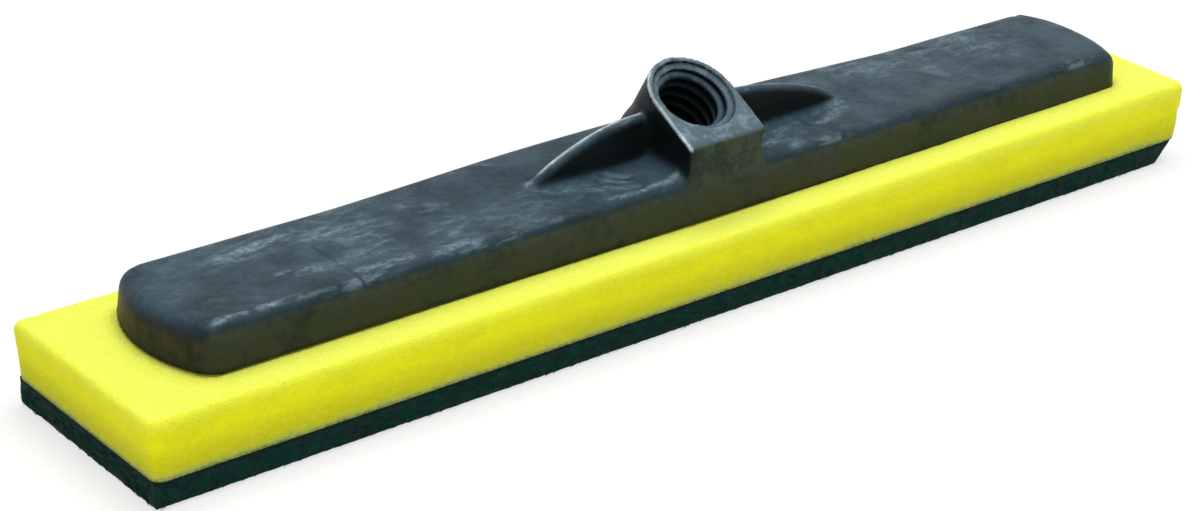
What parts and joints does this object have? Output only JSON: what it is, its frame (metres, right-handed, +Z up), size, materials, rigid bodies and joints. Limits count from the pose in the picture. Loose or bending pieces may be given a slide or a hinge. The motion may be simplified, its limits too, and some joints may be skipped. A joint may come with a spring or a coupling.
{
  "type": "floor scrubbing head",
  "caption": "Long moulded block with a tilted threaded handle socket and two fins, glued on a flat sponge with a scouring pad below, for scrubbing and wiping floors.",
  "frame": {"origin": "middle of the pad's underside, on the floor", "axes": "+X along the head to the right, +Y to the back, away from the socket's mouth, +Z up"},
  "size_m": [0.4, 0.07, 0.0657],
  "materials": {
    "block_plastic": "dull dark grey moulded polyethylene, scuffed",
    "glue": "dried contact glue",
    "sponge_foam": "yellow open-cell foam",
    "pad_fibre": "dark green bonded fibre web"
  },
  "bodies": {
    "root": {"base_block": "block_plastic", "block_glue": "glue", "sponge": "sponge_foam", "pad_glue": "glue", "scouring_pad": "pad_fibre"}
  },
  "joints": []
}
